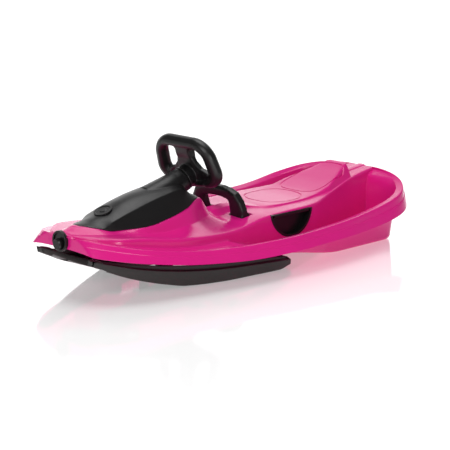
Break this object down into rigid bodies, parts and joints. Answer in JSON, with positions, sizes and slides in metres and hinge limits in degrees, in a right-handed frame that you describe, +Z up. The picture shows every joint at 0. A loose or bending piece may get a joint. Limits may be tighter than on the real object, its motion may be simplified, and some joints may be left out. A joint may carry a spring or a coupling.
{
  "type": "steering sled",
  "caption": "Children's steering sled: moulded hull with foot trenches, wheel-steered front skis, hand brake arch with claw, finger grips and a winding tow line.",
  "frame": {"origin": "on the snow, midway along the length and the width", "axes": "+X forward to the nose, +Y to the rider's left, +Z up"},
  "size_m": [1.206, 0.586, 0.3776],
  "materials": {
    "hull_plastic": "glossy moulded pink",
    "black_plastic": "satin grained black",
    "badge_plastic": "satin dark grey",
    "ski_plastic": "smooth black",
    "nylon": "plain",
    "steel": "zinc plated",
    "cord": "braided"
  },
  "bodies": {
    "sled": {"hull": "hull_plastic", "console_cover": "black_plastic", "console_medallion": "badge_plastic", "console_screws": "steel", "steering_bridge": "steel", "upper_bush": "nylon", "lower_bush": "nylon", "brake_bush_left": "nylon", "brake_bush_right": "nylon", "brake_return_coil": "steel", "grip_left": "black_plastic", "grip_right": "black_plastic", "nose_socket": "black_plastic", "tow_rope": "cord", "reel_housing": "black_plastic", "reel_lid": "black_plastic", "reel_spring": "steel", "reel_screws": "steel"},
    "steering": {"steering_column": "steel", "steering_wheel": "black_plastic", "wheel_cap": "black_plastic", "steering_crank": "steel", "crank_pin": "steel"},
    "tie": {"tie_plate": "steel"},
    "front_left": {"ski_left": "ski_plastic", "kingpin_left": "steel", "kingpin_nut_left": "steel", "thrust_washer_left": "nylon", "steering_pin_left": "steel"},
    "front_right": {"ski_right": "ski_plastic", "kingpin_right": "steel", "kingpin_nut_right": "steel", "thrust_washer_right": "nylon", "steering_pin_right": "steel"},
    "brake": {"brake_lever": "black_plastic", "brake_shaft": "steel", "brake_claw": "steel"},
    "tow": {"tow_knob": "black_plastic"},
    "reel": {"reel_spool": "nylon", "wound_rope": "cord"}
  },
  "joints": [
    {"name": "steer", "type": "hinge", "parent": "sled", "child": "steering", "pos_m": [0.158, 0, 0.248], "axis": [-0.9397, 0, 0.342], "range_deg": [-35, 35]},
    {"name": "tie_slide", "type": "slide", "parent": "sled", "child": "tie", "axis": [0, 1, 0], "range_m": [-0.0306, 0.0306]},
    {"name": "ski_left_turn", "type": "hinge", "parent": "sled", "child": "front_left", "pos_m": [0.32, 0.106, 0.062], "axis": [0, 0, 1], "range_deg": [-15.2, 15.2]},
    {"name": "ski_right_turn", "type": "hinge", "parent": "sled", "child": "front_right", "pos_m": [0.32, -0.106, 0.062], "axis": [0, 0, 1], "range_deg": [-15.2, 15.2]},
    {"name": "brake_pull", "type": "hinge", "parent": "sled", "child": "brake", "pos_m": [0.004, 0, 0.13], "axis": [0, -1, 0], "range_deg": [0, 30], "stiffness_Nm_per_rad": 2, "springref_deg": -14.32, "deforming": ["brake_return_coil"]},
    {"name": "tow_pull", "type": "slide", "parent": "sled", "child": "tow", "axis": [1, 0, 0], "range_m": [0, 1.2], "stiffness_N_per_m": 6, "springref_m": -0.3, "deforming": ["tow_rope"]},
    {"name": "reel_turn", "type": "hinge", "parent": "sled", "child": "reel", "pos_m": [0.51, -0.03, 0.141], "axis": [0, 0, -1], "range_deg": [0, 2300]}
  ],
  "couplings": [
    {"joint": "tie_slide", "follows": "steer", "m_per_rad": -0.0495},
    {"joint": "ski_left_turn", "follows": "steer", "ratio": 0.4304},
    {"joint": "ski_right_turn", "follows": "steer", "ratio": 0.4304},
    {"joint": "reel_turn", "follows": "tow_pull", "rad_per_m": 33.4}
  ]
}
